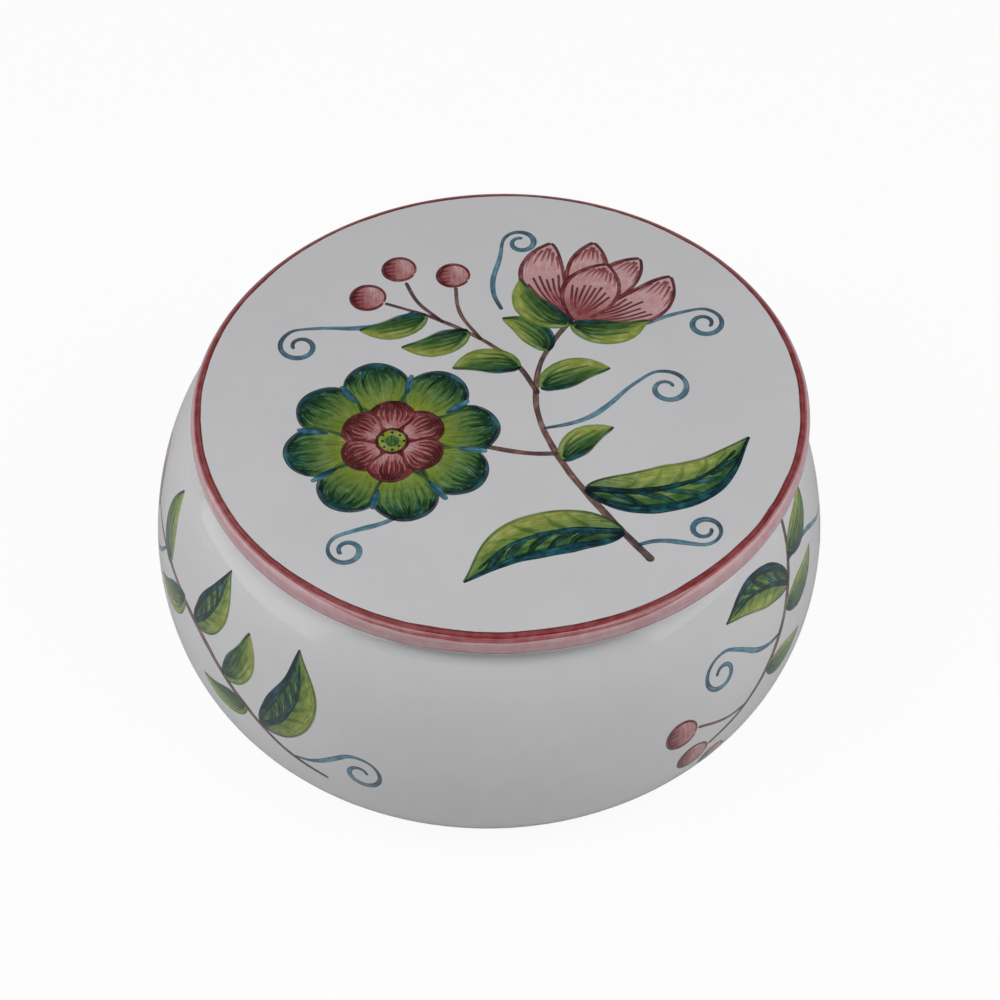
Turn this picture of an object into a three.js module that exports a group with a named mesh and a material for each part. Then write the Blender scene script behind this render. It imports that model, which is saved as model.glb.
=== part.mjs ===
// Lidded trinket dish of white glazed earthenware: a squat round bowl and a flat lid on its mouth.
//
// Millimetres, +Z up. The origin is the middle of the foot, on the surface that the dish stands on.
// Both pieces are turned forms, so each is one profile revolved about the Z axis. The lid hangs
// over the mouth all round and rests to the +X side of the middle, as far as its ring lets it.

import * as THREE from 'three';

// Driving dimensions of the bowl.
const belly_diameter = 160;
const belly_height = 33;
const shoulder_height = 36.5;
const shoulder_inset = 13.3;
const wall_thickness = 4.6;
const lower_fullness = 2.13;
const upper_fullness = 1.7;

// The foot ring that the bowl stands on, and the shallow recess inside it.
const foot_inset = 18;
const foot_height = 1.5;
const foot_ring_width = 6;
const foot_round = 0.7;
const recess_depth = 1.8;

// The rim round the mouth, whose flat top is the seat of the lid.
const rim_width = 4.6;
const rim_depth = 2.5;
const rim_round = 0.9;

// The lid, with the locating ring under it that stays inside the mouth.
const lid_overhang = 5.3;
const lid_thickness = 5.5;
const lid_top_round = 2.1;
const lid_bottom_round = 1.5;
const lid_panel_thickness = 5;
const ring_depth = 7;
const ring_width = 4.2;
const ring_round = 1.2;
const ring_root_round = 0.9;

// Clearances: the ring's play in the mouth on each side when centred, and what is left of it at the
// side that the lid has been pushed to.
const lid_side_play = 3.4;
const pushed_side_gap = 0.3;

// How finely the round forms are divided.
const turn_steps = 80;
const wall_curve_steps = 9;
const round_steps = 3;

// Sizes that follow from the ones above.
const belly_radius = belly_diameter / 2;
const foot_radius = belly_radius - foot_inset;
const mouth_outer_radius = belly_radius - shoulder_inset;
const mouth_radius = mouth_outer_radius - rim_width;
const bowl_height = belly_height + shoulder_height;
const lid_radius = mouth_outer_radius + lid_overhang;
const ring_outer_radius = mouth_radius - lid_side_play;
const ring_inner_radius = ring_outer_radius - ring_width;
const lid_offset = lid_side_play - pushed_side_gap;

const quarter = Math.PI / 2;

// A round corner: points on an arc about (r, z) from one angle to another, 0 being outwards.
function arc(r, z, radius, from, to) {
  const points = [];
  for (let i = 0; i <= round_steps; i += 1) {
    const angle = from + ((to - from) * i) / round_steps;
    points.push(new THREE.Vector2(r + radius * Math.cos(angle), z + radius * Math.sin(angle)));
  }
  return points;
}

// One quarter of a superellipse between its flat end and its upright end. A fullness of 2 is an
// ellipse, more is squarer and less is flatter.
function swell(flat_end, upright_end, fullness) {
  const points = [];
  for (let i = 0; i <= wall_curve_steps; i += 1) {
    const angle = (quarter * i) / wall_curve_steps;
    const outward = Math.sin(angle) ** (2 / fullness);
    const upward = 1 - Math.cos(angle) ** (2 / fullness);
    points.push(new THREE.Vector2(
      flat_end.x + (upright_end.x - flat_end.x) * outward,
      flat_end.y + (upright_end.y - flat_end.y) * upward,
    ));
  }
  return points;
}

// The same curve moved inwards by the wall, square to itself.
function inside(curve, distance) {
  return curve.map((point, i) => {
    const before = curve[Math.max(i - 1, 0)];
    const after = curve[Math.min(i + 1, curve.length - 1)];
    const along = new THREE.Vector2().subVectors(after, before).normalize();
    return new THREE.Vector2(point.x - along.y * distance, point.y + along.x * distance);
  });
}

function turned(name, profile, finish) {
  const geometry = new THREE.LatheGeometry(profile, turn_steps);
  // LatheGeometry turns about Y, and the dish stands along Z.
  geometry.rotateX(quarter);
  const mesh = new THREE.Mesh(geometry, finish);
  mesh.name = name;
  return mesh;
}

// The outside of the wall, from the foot out to the belly and in again over the shoulder.
function outerWall() {
  const belly = new THREE.Vector2(belly_radius, belly_height);
  const lower = swell(new THREE.Vector2(foot_radius, foot_height), belly, lower_fullness);
  const upper = swell(new THREE.Vector2(mouth_outer_radius, bowl_height), belly, upper_fullness);
  return [...lower, ...upper.reverse().slice(1)];
}

function bowlProfile() {
  const wall = outerWall();
  const foot_inner_radius = foot_radius - foot_ring_width;
  const foot = [
    new THREE.Vector2(0, recess_depth),
    new THREE.Vector2(foot_inner_radius - foot_round, recess_depth),
    ...arc(foot_inner_radius + foot_round, foot_round, foot_round, 2 * quarter, 3 * quarter),
    ...arc(foot_radius - foot_round, foot_round, foot_round, -quarter, 0),
  ];
  const rim = [
    ...arc(mouth_radius + rim_round, bowl_height - rim_round, rim_round, quarter, 2 * quarter),
    new THREE.Vector2(mouth_radius, bowl_height - rim_depth),
  ];
  // The inside follows the wall up to the rim, whose underside then runs in to the mouth.
  const below_rim = wall.filter((point) => point.y < bowl_height - rim_depth);
  const hollow = inside(below_rim, wall_thickness).reverse();
  const floor = new THREE.Vector2(0, foot_height + wall_thickness);
  return [...foot, ...wall, ...rim, ...hollow, floor];
}

function lidProfile() {
  const seat = bowl_height;
  const top = seat + lid_thickness;
  const ceiling = top - lid_panel_thickness;
  const ring_foot = seat - ring_depth;
  return [
    new THREE.Vector2(0, ceiling),
    ...arc(ring_inner_radius - ring_root_round, ceiling - ring_root_round, ring_root_round, quarter, 0),
    ...arc(ring_inner_radius + ring_round, ring_foot + ring_round, ring_round, 2 * quarter, 3 * quarter),
    ...arc(ring_outer_radius - ring_round, ring_foot + ring_round, ring_round, -quarter, 0),
    ...arc(ring_outer_radius + ring_root_round, seat - ring_root_round, ring_root_round, 2 * quarter, quarter),
    ...arc(lid_radius - lid_bottom_round, seat + lid_bottom_round, lid_bottom_round, -quarter, 0),
    ...arc(lid_radius - lid_top_round, top - lid_top_round, lid_top_round, 0, quarter),
    new THREE.Vector2(0, top),
  ];
}

// White tin glaze over both pieces, seen a little cooler on the flat lid.
const bowl_glaze = new THREE.MeshStandardMaterial({ color: 0xd9d8d6, roughness: 0.12, metalness: 0 });
const lid_glaze = new THREE.MeshStandardMaterial({ color: 0xdcdcdd, roughness: 0.1, metalness: 0 });

const bowl = turned('dish_bowl', bowlProfile(), bowl_glaze);
const lid = turned('dish_lid', lidProfile(), lid_glaze);
lid.position.x = lid_offset;

const dish = new THREE.Group();
dish.add(bowl, lid);

export default dish;
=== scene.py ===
# %% [markdown]
# # A lidded trinket dish in painted, tin-glazed earthenware
#
# The real dish is two pieces of fired clay: a squat round bowl, and a flat lid that lies on its
# mouth. Both were dipped in white tin glaze, painted on the raw glaze with oxide colours, and
# fired once more, so that paint and glaze melted into one glossy skin.
#
# The solids come packed as a fixed frame with their real size and the joint that lifts the lid.
# The frame is loaded first, and its box is kept, because every piece made here stays inside it.

# %% Load the frame
from collections import namedtuple

import bpy
import numpy as np
from mathutils import Matrix, Vector
from mathutils.geometry import delaunay_2d_cdt


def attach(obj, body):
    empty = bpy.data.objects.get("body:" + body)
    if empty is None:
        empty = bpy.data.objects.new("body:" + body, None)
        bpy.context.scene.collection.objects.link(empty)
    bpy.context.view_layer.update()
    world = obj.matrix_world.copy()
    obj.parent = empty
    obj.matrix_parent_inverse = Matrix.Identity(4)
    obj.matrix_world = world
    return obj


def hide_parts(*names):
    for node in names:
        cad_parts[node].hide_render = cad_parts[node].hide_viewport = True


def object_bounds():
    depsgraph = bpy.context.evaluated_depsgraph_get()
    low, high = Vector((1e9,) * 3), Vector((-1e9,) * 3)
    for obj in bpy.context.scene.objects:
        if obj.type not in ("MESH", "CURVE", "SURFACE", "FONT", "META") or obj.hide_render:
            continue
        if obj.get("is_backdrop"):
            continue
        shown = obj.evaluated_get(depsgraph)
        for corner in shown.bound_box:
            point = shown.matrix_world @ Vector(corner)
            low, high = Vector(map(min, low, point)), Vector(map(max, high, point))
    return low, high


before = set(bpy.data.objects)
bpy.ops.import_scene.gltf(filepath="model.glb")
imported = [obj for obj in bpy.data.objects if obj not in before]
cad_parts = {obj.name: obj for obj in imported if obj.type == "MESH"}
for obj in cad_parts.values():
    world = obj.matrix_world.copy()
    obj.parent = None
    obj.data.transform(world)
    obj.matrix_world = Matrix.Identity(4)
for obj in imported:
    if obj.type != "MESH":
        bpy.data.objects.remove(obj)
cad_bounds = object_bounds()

MM = 0.001
scene = bpy.context.scene
hand = np.random.default_rng(24)
print("frame box in mm:", [[round(c / MM, 2) for c in corner] for corner in cad_bounds])

# %% [markdown]
# ## The camera
#
# The photograph looks down on the dish from straight in front, at 46 degrees and through a long
# lens. The place, aim and lens were fitted to three ovals of known size: the painted line on the
# lid, the lid's lower edge and the belly. The camera is also turned by a degree about its own
# line of sight, because the ovals lie a little askew in the picture.

# %% Camera at the photograph's viewpoint
CAMERA_PLACE = Vector((0.0, -495.96, 596.95)) * MM
CAMERA_AIM = Vector((2.55, -30.85, 75.0)) * MM
CAMERA_ROLL = np.radians(-0.939)
CAMERA_LENS = 111.48

camera_data = bpy.data.cameras.new("photo_camera")
camera_data.sensor_width = 36.0
camera_data.lens = CAMERA_LENS
camera_data.clip_start = 0.01
camera_data.clip_end = 50.0
camera = bpy.data.objects.new("photo_camera", camera_data)
scene.collection.objects.link(camera)
sight = (CAMERA_AIM - CAMERA_PLACE).to_track_quat("-Z", "Y").to_matrix().to_4x4()
camera.matrix_world = Matrix.Translation(CAMERA_PLACE) @ sight @ Matrix.Rotation(CAMERA_ROLL, 4, "Z")
scene.camera = camera
scene.view_settings.view_transform = "Standard"
print("camera", round((CAMERA_AIM - CAMERA_PLACE).length / MM), "mm from its aim")

# %% [markdown]
# ## Helpers for materials
#
# A procedural material is a net of nodes. It could be wired by hand in the shader editor, but in
# code a few small helpers keep such a net readable: they place a node, or a group of nodes, and
# fill each socket with a plain value or wire it to the result of another node.


# %% Place nodes and fill their sockets
def fill(tree, made, sockets):
    for name, value in sockets.items():
        if isinstance(value, bpy.types.NodeSocket):
            tree.links.new(value, made.inputs[name])
        else:
            made.inputs[name].default_value = value
    return made


def place(tree, kind, sockets=None, **settings):
    made = tree.nodes.new("ShaderNode" + kind)
    for name, value in settings.items():
        setattr(made, name, value)
    return fill(tree, made, sockets or {})


def place_group(tree, name, sockets):
    made = tree.nodes.new("ShaderNodeGroup")
    made.node_tree = bpy.data.node_groups[name]
    return fill(tree, made, sockets)


# %% [markdown]
# The finishes below use a few steps again and again: a sum, a soft step from one value to
# another, a blend, and noise. Each helper returns the socket that holds the step's result.


# %% Sums, soft steps, blends and noise
def math(tree, operation, first, second=0.0, clamp=False):
    made = place(tree, "Math", {0: first, 1: second}, operation=operation, use_clamp=clamp)
    return made.outputs[0]


def ease(tree, value, low, high, at_low=0.0, at_high=1.0):
    """A soft step: at_low below low, at_high above high, and smooth between them."""
    sockets = {"Value": value, "From Min": low, "From Max": high, "To Min": at_low, "To Max": at_high}
    return place(tree, "MapRange", sockets, interpolation_type="SMOOTHSTEP").outputs["Result"]


def mix_colours(tree, share, first, second, blend_type="MIX"):
    made = place(tree, "Mix", {0: share, 6: first, 7: second}, data_type="RGBA", blend_type=blend_type)
    return made.outputs[2]


def mix_values(tree, share, first, second):
    return place(tree, "Mix", {0: share, 2: first, 3: second}).outputs[0]


def noise(tree, where, scale, detail=2.0, roughness=0.5):
    sockets = {"Vector": where, "Scale": scale, "Detail": detail, "Roughness": roughness}
    return place(tree, "TexNoise", sockets).outputs[0]


# %% New node groups and materials
def new_group(name, inputs, outputs):
    """A shader node group with its named sockets, each with its kind and its first value."""
    tree = bpy.data.node_groups.new(name, "ShaderNodeTree")
    for label, kind, value in inputs:
        socket = tree.interface.new_socket(label, in_out="INPUT", socket_type="NodeSocket" + kind)
        if value is not None:
            socket.default_value = value
    for label, kind in outputs:
        tree.interface.new_socket(label, in_out="OUTPUT", socket_type="NodeSocket" + kind)
    return tree, tree.nodes.new("NodeGroupInput"), tree.nodes.new("NodeGroupOutput")


def new_material(name):
    material = bpy.data.materials.new(name)
    material.use_nodes = True
    material.node_tree.nodes.clear()
    return material, material.node_tree


# %% [markdown]
# ## Floor and backdrop
#
# The dish stands on a plain pale ground that the photograph shows as pure white. More light
# would bleach the glaze long before the ground turned white, so the whiteness comes from the
# ground's own material: what the camera and mirror-like reflections see is mostly a plain white,
# mixed with some of the lit ground so that the soft shadow at the foot stays. All other rays meet
# a normal pale ground, which throws a natural amount of light up under the bowl. Close to the
# dish, where it keeps the light off the paper, its own reflection shows less of the plain white.
#
# The ground is a round sheet that curves up into a low wall all about, as a photographer's paper
# sweep does, so that no horizon shows in a view from the side. Above it the room is dim. That
# matters for the lid: lying flat, it mirrors the room behind, and a dim one keeps the paint deep.

# %% Sweep that looks white and keeps the shadow
SWEEP_COLOUR = (0.70, 0.70, 0.70, 1.0)
SWEEP_WHITENESS = 0.93
SWEEP_SEEN_COLOUR = (0.95, 0.95, 0.95, 1.0)
SWEEP_RADIUS = 1.3
SWEEP_BEND = 0.45
SWEEP_TOP = 0.75
MIRROR_FROM = 0.12
MIRROR_FULL = 0.7
MIRROR_SHARE = 0.6

sweep_material, tree = new_material("pale_paper")
white = place(tree, "Emission", {"Color": (1.0, 1.0, 1.0, 1.0), "Strength": 1.0})
path = place(tree, "LightPath")
position = place(tree, "NewGeometry").outputs["Position"]
from_dish = place(tree, "VectorMath", {0: position}, operation="LENGTH").outputs["Value"]
in_mirror = ease(tree, from_dish, MIRROR_FROM, MIRROR_FULL, 0.0, MIRROR_SHARE)
mirrored = math(tree, "MULTIPLY", path.outputs["Is Glossy Ray"], in_mirror)
seen = math(tree, "MAXIMUM", path.outputs["Is Camera Ray"], path.outputs["Is Transmission Ray"])
seen = math(tree, "MAXIMUM", seen, mirrored)
lit = place(tree, "BsdfDiffuse", {"Color": mix_colours(tree, seen, SWEEP_COLOUR, SWEEP_SEEN_COLOUR)})
whiteness = math(tree, "MULTIPLY", seen, SWEEP_WHITENESS)
surface = place(tree, "MixShader", {0: whiteness, 1: lit.outputs[0], 2: white.outputs[0]})
place(tree, "OutputMaterial", {"Surface": surface.outputs[0]})

# %% [markdown]
# The sheet's shape is a line that runs out along the floor, bends up and ends in the wall. Spun
# about the upright axis it makes the whole round sheet.

# %% Spin the sweep
SWEEP_COLUMNS = 96
bend = np.linspace(-np.pi / 2, 0.0, 13)
sweep_profile = [(0.3, 0.0)]
sweep_profile += zip(SWEEP_RADIUS + SWEEP_BEND * np.cos(bend), SWEEP_BEND + SWEEP_BEND * np.sin(bend))
sweep_profile.append((SWEEP_RADIUS + SWEEP_BEND, SWEEP_TOP))
turn = np.linspace(0.0, 2 * np.pi, SWEEP_COLUMNS, endpoint=False)
sweep_points = [(0.0, 0.0, 0.0)]
sweep_points += [(r * np.cos(a), r * np.sin(a), z) for r, z in sweep_profile for a in turn]
beside = [(i, (i + 1) % SWEEP_COLUMNS) for i in range(SWEEP_COLUMNS)]
sweep_faces = [(0, 1 + i, 1 + j) for i, j in beside]
for ring in range(len(sweep_profile) - 1):
    inner = 1 + ring * SWEEP_COLUMNS
    outer = inner + SWEEP_COLUMNS
    sweep_faces += [(inner + i, outer + i, outer + j, inner + j) for i, j in beside]
sweep_mesh = bpy.data.meshes.new("paper_sweep")
sweep_mesh.from_pydata(sweep_points, [], sweep_faces)
sweep_mesh.shade_smooth()
sweep_mesh.materials.append(sweep_material)
sweep = bpy.data.objects.new("paper_sweep", sweep_mesh)
scene.collection.objects.link(sweep)
sweep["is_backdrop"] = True
print("sweep:", len(sweep_mesh.polygons), "faces, wall up to", SWEEP_TOP, "m")

# %% Dim, even light from the room
ROOM_LIGHT = (0.12, 0.12, 0.123, 1.0)
world = bpy.data.worlds.new("studio")
world.use_nodes = True
world.node_tree.nodes.clear()
room = place(world.node_tree, "Background", {"Color": ROOM_LIGHT, "Strength": 1.0})
place(world.node_tree, "OutputWorld", {"Surface": room.outputs[0]})
scene.world = world

# %% [markdown]
# ## Studio lights
#
# Glossy white ware is lit for its reflections. The photograph shows two broad bright patches on
# the shoulder, left and right, with a darker gap between them in front: two big softboxes that
# stand on the table's sides. The flat lid is lit from above, by two smaller ones that hang near
# its front, so that it darkens towards the back. Each softbox is given by the radiance of its
# face, which is what its reflection in the glaze shows.


# %% Softboxes at the sides and above
def softbox(name, middle, aim, width, height, radiance):
    data = bpy.data.lights.new(name, "AREA")
    data.shape = "RECTANGLE"
    data.size = width
    data.size_y = height
    data.energy = radiance * np.pi * width * height
    lamp = bpy.data.objects.new(name, data)
    scene.collection.objects.link(lamp)
    lamp.location = middle
    lamp.rotation_mode = "QUATERNION"
    lamp.rotation_quaternion = (Vector(aim) - Vector(middle)).to_track_quat("-Z", "Y")
    print(name, "gives", round(data.energy, 2), "W")
    return lamp


DISH_MIDDLE = (0.0, 0.0, 0.05)
softbox("left_softbox", (-0.92, -0.14, 0.46), DISH_MIDDLE, 1.1, 0.9, 1.32)
softbox("right_softbox", (0.90, -0.22, 0.46), DISH_MIDDLE, 1.1, 0.9, 1.30)
softbox("left_key", (-0.30, -0.22, 0.60), DISH_MIDDLE, 0.34, 0.34, 2.65)
softbox("right_key", (0.30, -0.22, 0.60), DISH_MIDDLE, 0.34, 0.34, 2.65)

# %% [markdown]
# The lid mirrors the room above and behind the dish, and the photograph shows the faint, straight
# edge of something pale up there in its front left part. A dim panel under the ceiling gives it.

# %% Pale panel behind and above
PANEL_PLACE = (-0.48, 0.61, 1.275)
PANEL_TURN = 136.3
panel = softbox("ceiling_panel", PANEL_PLACE, (*PANEL_PLACE[:2], 0.0), 1.0, 1.0, 0.42)
panel.rotation_mode = "XYZ"
panel.rotation_euler = (0.0, 0.0, np.radians(PANEL_TURN))

# %% [markdown]
# ## Turned forms
#
# Both pieces are round because they were shaped on a wheel, and Blender can do the same: a
# profile is revolved about the axis. The profile is kept as rows of radius, height and the
# direction that the surface faces there. Knowing that direction exactly is what lets the glaze
# mirror the softboxes without a facet or a crease.

# %% Sizes of the dish, in millimetres
BELLY_RADIUS = 80.0
BELLY_HEIGHT = 33.0
BOWL_HEIGHT = 69.5
LOWER_FULLNESS = 2.13
UPPER_FULLNESS = 1.7
WALL = 4.6

FOOT_RADIUS = 62.0
FOOT_HEIGHT = 1.5
FOOT_RING_WIDTH = 6.0
FOOT_ROUND = 0.7
RECESS_DEPTH = 1.8

MOUTH_OUTER_RADIUS = 66.7
MOUTH_RADIUS = 62.1
RIM_DEPTH = 2.5
RIM_ROUND = 0.9

LID_RADIUS = 72.0
LID_THICKNESS = 5.5
LID_PANEL = 5.0
LID_TOP_ROUND = 2.1
LID_BOTTOM_ROUND = 1.5
LID_OFFSET = 3.1
RING_OUTER_RADIUS = 58.7
RING_WIDTH = 4.2
RING_DEPTH = 7.0
RING_ROUND = 1.2
RING_ROOT = 0.9

COLUMNS = 192
print("dish:", 2 * BELLY_RADIUS, "mm across and", BOWL_HEIGHT + LID_THICKNESS, "mm high")


# %% Profile rows: radius, height, and the two parts of the outward direction
def corner(r, z, radius, start, end, hollow=False, steps=7):
    """A rounded corner about (r, z). A hollow one faces its own middle, as a fillet does."""
    turn = np.radians(np.linspace(start, end, steps + 1))
    facing = -1.0 if hollow else 1.0
    around = np.column_stack([np.cos(turn), np.sin(turn)])
    return np.hstack([(r, z) + radius * around, facing * around])


def evenly(line, spacing):
    """The same line with its points at even steps."""
    steps = np.linalg.norm(np.diff(line, axis=0), axis=1)
    travelled = np.concatenate([[0.0], np.cumsum(steps)])
    count = max(2, int(round(travelled[-1] / spacing)))
    stations = np.linspace(0.0, travelled[-1], count + 1)
    return np.column_stack([np.interp(stations, travelled, part) for part in line.T])


def settled(line, passes):
    """The line with its sudden bends worn away, as a wet sponge does to clay. Its ends stay."""
    line = line.copy()
    for _ in range(passes):
        line[1:-1] = (line[:-2] + 2 * line[1:-1] + line[2:]) / 4
    return line


def faced(line):
    """Rows for a free line: the surface faces to the right of the way the line runs."""
    along = np.gradient(line, axis=0)
    along /= np.linalg.norm(along, axis=1, keepdims=True)
    return np.column_stack([line, along[:, 1], -along[:, 0]])


def swell(flat_end, upright_end, fullness, steps=160):
    """A quarter of a superellipse, from its flat end to its upright end."""
    turn = np.linspace(0.0, np.pi / 2, steps + 1)
    outward = np.sin(turn) ** (2 / fullness)
    upward = 1 - np.cos(turn) ** (2 / fullness)
    share = np.column_stack([outward, upward])
    return np.array(flat_end) + share * (np.array(upright_end) - np.array(flat_end))


# %% [markdown]
# The bowl's wall swells out from the foot to the belly and curls in over the shoulder to the
# mouth. Its two curves meet at the belly, where a little settling hides the join. The inside is
# the same line moved in by the wall. Foot ring, fillets and rim are small rounded corners.

# %% Profile of the bowl
BELLY = (BELLY_RADIUS, BELLY_HEIGHT)
FILLET = 0.6
lower = swell((FOOT_RADIUS, FOOT_HEIGHT), BELLY, LOWER_FULLNESS)
upper = swell((MOUTH_OUTER_RADIUS, BOWL_HEIGHT), BELLY, UPPER_FULLNESS)[::-1]
outline = np.vstack([lower[lower[:, 0] > FOOT_RADIUS + FILLET], upper[1:]])
outline = np.vstack([[FOOT_RADIUS + FILLET, FOOT_HEIGHT], outline])
wall_rows = faced(settled(evenly(outline, 0.4), 16))

foot_inner = FOOT_RADIUS - FOOT_RING_WIDTH
under_rows = np.vstack([
    [(r, RECESS_DEPTH, 0.0, -1.0) for r in (0.0, 12.0, 34.0, foot_inner - 2.5)],
    corner(foot_inner - 1.0, RECESS_DEPTH - 1.0, 1.0, 90, 0, hollow=True),
    corner(foot_inner + FOOT_ROUND, FOOT_ROUND, FOOT_ROUND, 180, 270),
    corner(FOOT_RADIUS - FOOT_ROUND, FOOT_ROUND, FOOT_ROUND, -90, 0),
    corner(FOOT_RADIUS + FILLET, FOOT_HEIGHT - FILLET, FILLET, 180, 90, hollow=True),
])

below_rim = wall_rows[wall_rows[:, 1] < BOWL_HEIGHT - RIM_DEPTH]
hollow_line = (below_rim[:, :2] - WALL * below_rim[:, 2:])[::-1]
rim_line = [(MOUTH_RADIUS, BOWL_HEIGHT - RIM_ROUND), (MOUTH_RADIUS, BOWL_HEIGHT - RIM_DEPTH)]
inside_line = settled(evenly(np.vstack([rim_line, hollow_line]), 0.7), 8)
inside_rows = faced(inside_line)[1:-1:2]
floor_height = FOOT_HEIGHT + WALL
inner_rows = np.vstack([
    corner(MOUTH_RADIUS + RIM_ROUND, BOWL_HEIGHT - RIM_ROUND, RIM_ROUND, 90, 180),
    inside_rows,
    [(r, floor_height, 0.0, 1.0) for r in (58.0, 50.0, 34.0, 12.0, 0.0)],
])
print("bowl profile:", len(under_rows), "+", len(wall_rows), "+", len(inner_rows), "rows")

# %% [markdown]
# The lid is a flat disc with a rounded edge and a ring under it, which keeps it from sliding off
# the mouth. It was pushed 3 mm to the right in the photograph, and rests there.

# %% Profile of the lid, from the middle underneath to the edge of its flat top
lid_top = BOWL_HEIGHT + LID_THICKNESS
ceiling = lid_top - LID_PANEL
ring_inner = RING_OUTER_RADIUS - RING_WIDTH
ring_foot = BOWL_HEIGHT - RING_DEPTH
TOP_SHEET_RADIUS = LID_RADIUS - LID_TOP_ROUND
lid_rows = np.vstack([
    [(r, ceiling, 0.0, -1.0) for r in (0.0, 12.0, 34.0, ring_inner - 2.5)],
    corner(ring_inner - RING_ROOT, ceiling - RING_ROOT, RING_ROOT, 90, 0, hollow=True),
    corner(ring_inner + RING_ROUND, ring_foot + RING_ROUND, RING_ROUND, 180, 270),
    corner(RING_OUTER_RADIUS - RING_ROUND, ring_foot + RING_ROUND, RING_ROUND, -90, 0),
    corner(RING_OUTER_RADIUS + RING_ROOT, BOWL_HEIGHT - RING_ROOT, RING_ROOT, 180, 90, hollow=True),
    corner(LID_RADIUS - LID_BOTTOM_ROUND, BOWL_HEIGHT + LID_BOTTOM_ROUND, LID_BOTTOM_ROUND, -90, 0),
    corner(TOP_SHEET_RADIUS, lid_top - LID_TOP_ROUND, LID_TOP_ROUND, 0, 90, steps=10),
])
print("lid profile:", len(lid_rows), "rows")

# %% [markdown]
# ## Painting with a brush, in geometry
#
# Majolica is painted freehand with a pointed brush, and each stroke shows: where it was set down
# and lifted, how wide it was pressed, the streaks of its hairs. There are three ways to give a
# bowl such a painting: a picture wrapped round it, shapes worked out by nodes, or real strokes.
# This lesson lays real strokes. Each one is a line with a width, a colour and a strength at every
# point, and is cut into the skin of the piece like inlay, so its outline stays sharp from any
# distance and the material knows, at every point, where on which stroke it is.
#
# Paint is stored as a tint: how much of the light that the white glaze gives back gets through
# it. The tints come from the readings of the colours in the photograph, each divided by the
# reading of the white beside it.

# %% Colours on the palette
WHITE_READING = 188.0


def linear(reading):
    share = np.asarray(reading, float) / 255
    return np.where(share > 0.04045, ((share + 0.055) / 1.055) ** 2.4, share / 12.92)


def tint(red, green, blue):
    return linear((red, green, blue)) / linear(WHITE_READING)


LEAF_YELLOW = tint(120, 131, 44)
LEAF_LIGHT = tint(84, 113, 46)
LEAF_GREEN = tint(44, 82, 41)
LEAF_DEEP = tint(12, 46, 28)
TEAL = tint(6, 51, 58)
TEAL_DARK = tint(3, 28, 35)
BLUE = tint(56, 104, 122)
BLUE_DARK = tint(16, 54, 72)
ROSE_PALE = tint(178, 136, 136)
ROSE = tint(140, 82, 82)
WINE = tint(108, 44, 46)
WINE_DARK = tint(66, 19, 22)
BROWN = tint(90, 54, 45)
BROWN_DARK = tint(52, 34, 31)
print("leaf green lets through", LEAF_GREEN.round(2))

# %% [markdown]
# A stroke's line is drawn through a few points as a smooth curve. The tip of the brush is round,
# so the ends are round. A hand is never quite steady, so line and width waver by a few
# hundredths of a millimetre, and every stroke holds a little more or less colour than the last.

# %% Smooth and unsteady lines
Stroke = namedtuple("Stroke", "line half tones cover")
ROUND_END = np.array([0.0, 0.06, 0.2, 0.42, 0.7, 1.0])
CURVE_SPACING = 0.25
PANEL_SPACING = 0.9
THINNEST = 0.02
TREMOR_OF_LINE = 0.04
TREMOR_OF_WIDTH = 0.05
TREMOR_OF_WASH = 0.03


def smooth_path(points, spacing=0.4):
    points = np.asarray(points, float)
    before = 2 * points[0] - points[1]
    after = 2 * points[-1] - points[-2]
    knots = np.vstack([before, points, after])
    t = np.linspace(0.0, 1.0, 16, endpoint=False)[:, None]
    runs = []
    for a, b, c, d in zip(knots, knots[1:], knots[2:], knots[3:]):
        curve = (c - a) * t + (2 * a - 5 * b + 4 * c - d) * t**2 + (3 * b - a - 3 * c + d) * t**3
        runs.append(b + 0.5 * curve)
    return evenly(np.vstack([*runs, points[-1:]]), spacing)


def tremor(stations, size):
    slow, fast = hand.uniform(0.0, 2 * np.pi, 2)
    return size * (np.sin(stations / 3.3 + slow) + 0.6 * np.sin(stations / 1.3 + fast))


def sideways(line):
    along = np.gradient(line, axis=0)
    along /= np.maximum(np.linalg.norm(along, axis=1, keepdims=True), 1e-9)
    return np.column_stack([-along[:, 1], along[:, 0]])


# %% One stroke of the brush
def loaded(tones):
    """The colours as this stroke holds them, a little thinner or thicker than the last one's."""
    return np.atleast_2d(tones) ** (1.0 + hand.normal(0.0, 0.07))


def draw(painting, points, widths, tones, cover=0.9):
    """A liner stroke through the points. The widths are spread along it, in millimetres."""
    line = smooth_path(points, CURVE_SPACING)
    length = np.linalg.norm(np.diff(line, axis=0), axis=1).sum()
    start, end = widths[0] / 2, widths[-1] / 2
    count = max(4, int(round(length / PANEL_SPACING)))
    even = np.linspace(0, length, count + 1)
    stations = np.concatenate([even, start * ROUND_END, length - end * ROUND_END])
    stations = np.unique(stations.clip(0.0, length).round(2))
    t = stations / length
    half = 0.5 * np.interp(t, np.linspace(0.0, 1.0, len(widths)), widths)
    near_end = np.minimum(stations / start, (length - stations) / end).clip(0.0, 1.0)
    half = half * np.sqrt(1.0 - (1.0 - near_end) ** 2) * (1.0 + tremor(stations, TREMOR_OF_WIDTH))
    even_t = np.linspace(0.0, 1.0, len(line))
    line = np.column_stack([np.interp(t, even_t, part) for part in line.T])
    line = line + sideways(line) * tremor(stations, TREMOR_OF_LINE)[:, None]
    painting.append(Stroke(line, half.clip(THINNEST), loaded(tones), np.atleast_1d(cover)))


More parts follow.
